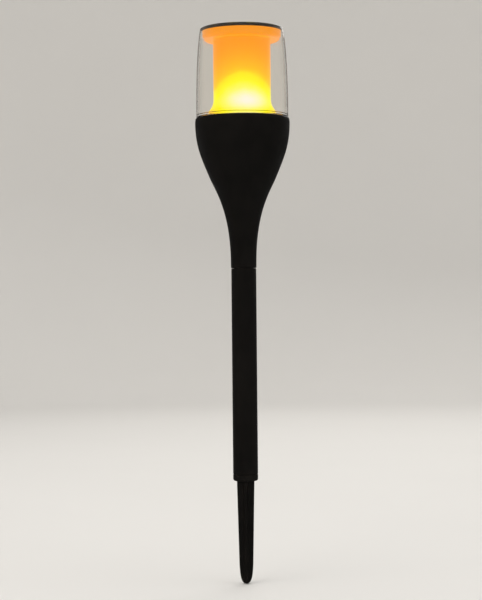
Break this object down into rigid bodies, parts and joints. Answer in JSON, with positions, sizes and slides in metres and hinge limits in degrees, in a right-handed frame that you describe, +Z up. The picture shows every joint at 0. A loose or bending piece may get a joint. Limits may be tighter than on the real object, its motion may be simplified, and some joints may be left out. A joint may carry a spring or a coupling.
{
  "type": "solar garden torch",
  "caption": "Slim solar garden torch with a flame-effect lamp: clear barrel lens over a glowing milky diffuser on a black tulip cup, pole and ground spike.",
  "frame": {"origin": "on the torch's axis at the ground line, which is the underside of the spike's collar", "axes": "+Z up along the pole; -Y is the front, and the battery and the switch's travel lie along X"},
  "size_m": [0.075, 0.075, 0.4402],
  "materials": {
    "black_plastic": "satin",
    "clear_lens": "gloss",
    "milky_diffuser": "satin",
    "solar_cell": "gloss",
    "seal_rubber": "matte",
    "circuit_board": "satin",
    "amber_led": "gloss",
    "component": "satin",
    "spring_steel": "satin",
    "screw_steel": "satin",
    "cell_wrap": "gloss",
    "red_lead": "satin",
    "black_lead": "satin"
  },
  "bodies": {
    "spike": {"ground_spike": "black_plastic"},
    "pole": {"pole_tube": "black_plastic"},
    "cup": {"torch_cup": "black_plastic"},
    "seal": {"rim_seal": "seal_rubber"},
    "head": {"clear_lens": "clear_lens", "flame_diffuser": "milky_diffuser", "top_cap": "black_plastic", "solar_panel": "solar_cell", "lamp_base": "black_plastic", "led_board": "circuit_board", "flicker_led_1": "amber_led", "flicker_led_2": "amber_led", "flicker_led_3": "amber_led", "control_chip": "component", "storage_capacitor": "component", "boost_inductor": "component", "battery_cell": "cell_wrap", "battery_lid": "black_plastic", "battery_spring": "spring_steel", "spring_contact": "spring_steel", "button_contact": "spring_steel", "switch_body": "component", "panel_lead_red": "red_lead", "panel_lead_black": "black_lead", "battery_lead_red": "red_lead", "battery_lead_black": "black_lead", "base_screw_1": "screw_steel", "base_screw_2": "screw_steel", "base_screw_3": "screw_steel", "board_screw_1": "screw_steel", "board_screw_2": "screw_steel", "lid_screw_1": "screw_steel", "lid_screw_2": "screw_steel"},
    "switch": {"switch_knob": "component"}
  },
  "joints": [
    {"name": "pole_pull", "type": "slide", "parent": "spike", "child": "pole", "axis": [0, 0, 1], "range_m": [0, 0.03]},
    {"name": "cup_pull", "type": "slide", "parent": "pole", "child": "cup", "axis": [0, 0, 1], "range_m": [0, 0.028]},
    {"name": "head_turn", "type": "hinge", "parent": "cup", "child": "seal", "pos_m": [0, 0, 0.276], "axis": [0, 0, 1], "range_deg": [-40, 0]},
    {"name": "head_lift", "type": "slide", "parent": "seal", "child": "head", "axis": [0, 0, 1], "range_m": [0, 0.045]},
    {"name": "switch_slide", "type": "slide", "parent": "head", "child": "switch", "axis": [-1, 0, 0], "range_m": [0, 0.0024]}
  ]
}
